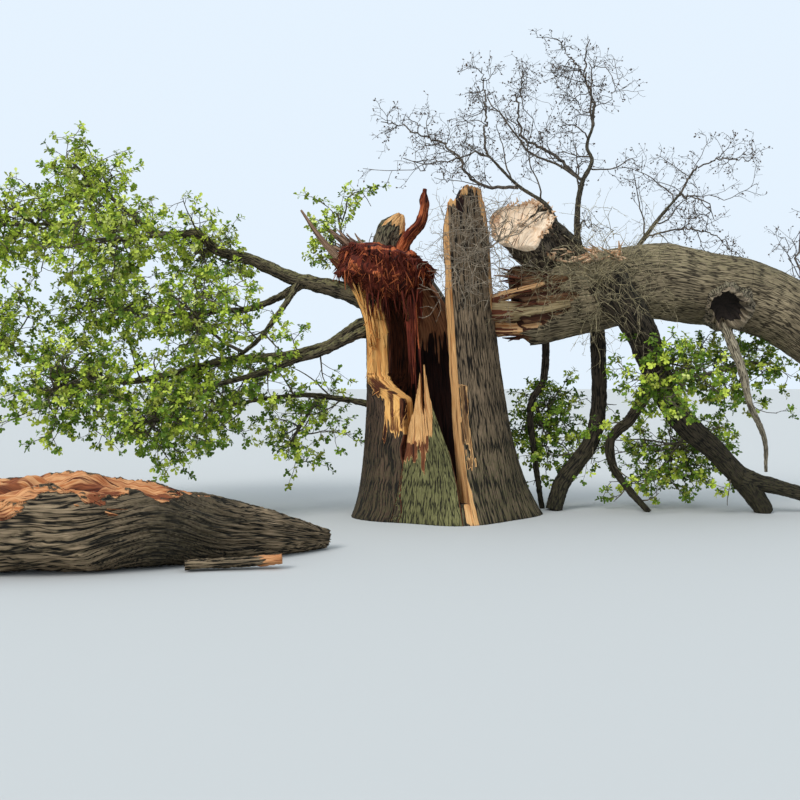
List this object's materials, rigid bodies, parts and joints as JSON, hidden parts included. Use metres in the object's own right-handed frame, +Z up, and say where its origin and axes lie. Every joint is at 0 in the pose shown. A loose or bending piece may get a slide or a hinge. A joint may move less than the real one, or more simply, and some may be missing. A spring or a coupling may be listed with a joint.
{
  "type": "storm-broken oak tree",
  "caption": "Old oak split open by a storm: hollow standing trunk with leafy boughs on one side, a torn-off stem arched to the ground on the other, bare twigs above, a split log in front",
  "frame": {"origin": "middle of the flat cut under the trunk, at ground level", "axes": "+Z up. +X to the side the torn-off stem lies on, which is the longest extent. +Y away from the side the log lies on."},
  "size_m": [15.7799, 6.3456, 6.258],
  "materials": {
    "bark": "deeply ridged grey-brown bark",
    "mossy_bark": "ridged bark, olive with moss on its upper side",
    "torn_wood": "freshly torn wood, tan to orange, in long splinters",
    "rotten_wood": "dark red, shredded rotten wood",
    "twig": "thin grey-brown bare twigs",
    "leaf": "young yellow-green lobed leaves in sprays, on thin twigs"
  },
  "bodies": {
    "root": {"bare_limb_right": "bark", "broken_stub": "torn_wood", "crooked_branch": "bark", "curved_splinter": "rotten_wood", "end_bough_back": "mossy_bark", "end_bough_front": "mossy_bark", "fallen_log": "bark", "fallen_stem_arch": "mossy_bark", "fallen_stem_butt": "mossy_bark", "fallen_stem_end": "mossy_bark", "hanging_branch": "bark", "heart_strip": "rotten_wood", "knob_stub": "bark", "knot_burr": "bark", "leader": "bark", "leader_left": "bark", "leaves_behind_top": "leaf", "leaves_centre_back": "leaf", "leaves_end_back": "leaf", "leaves_end_front": "leaf", "leaves_far_left": "leaf", "leaves_low_back": "leaf", "leaves_low_front": "leaf", "leaves_low_left": "leaf", "leaves_low_right": "leaf", "leaves_middle_front": "leaf", "leaves_near_trunk": "leaf", "leaves_peak": "leaf", "leaves_right_back": "leaf", "leaves_right_front": "leaf", "leaves_top_left": "leaf", "leaves_under_stem": "leaf", "leaves_upper_front": "leaf", "leaves_upper_right": "leaf", "left_prop": "bark", "long_splinter": "torn_wood", "low_bough": "bark", "middle_bough_back": "bark", "middle_bough_front": "bark", "prop_fork": "bark", "prop_limb": "bark", "rotten_heart": "rotten_wood", "short_splinters": "torn_wood", "thin_prop": "bark", "torn_slab": "torn_wood", "trunk_back_wall": "rotten_wood", "trunk_foot": "bark", "trunk_front_wedge": "bark", "trunk_left_stem": "bark", "trunk_right_stem": "bark", "twigs_before_stem": "twig", "twigs_before_trunk": "twig", "twigs_crown_left": "twig", "twigs_crown_middle": "twig", "twigs_crown_right": "twig", "twigs_crown_top": "twig", "twigs_far_right": "twig", "upper_bough": "mossy_bark", "upper_branch_back": "mossy_bark", "upper_branch_front": "mossy_bark"}
  },
  "joints": []
}
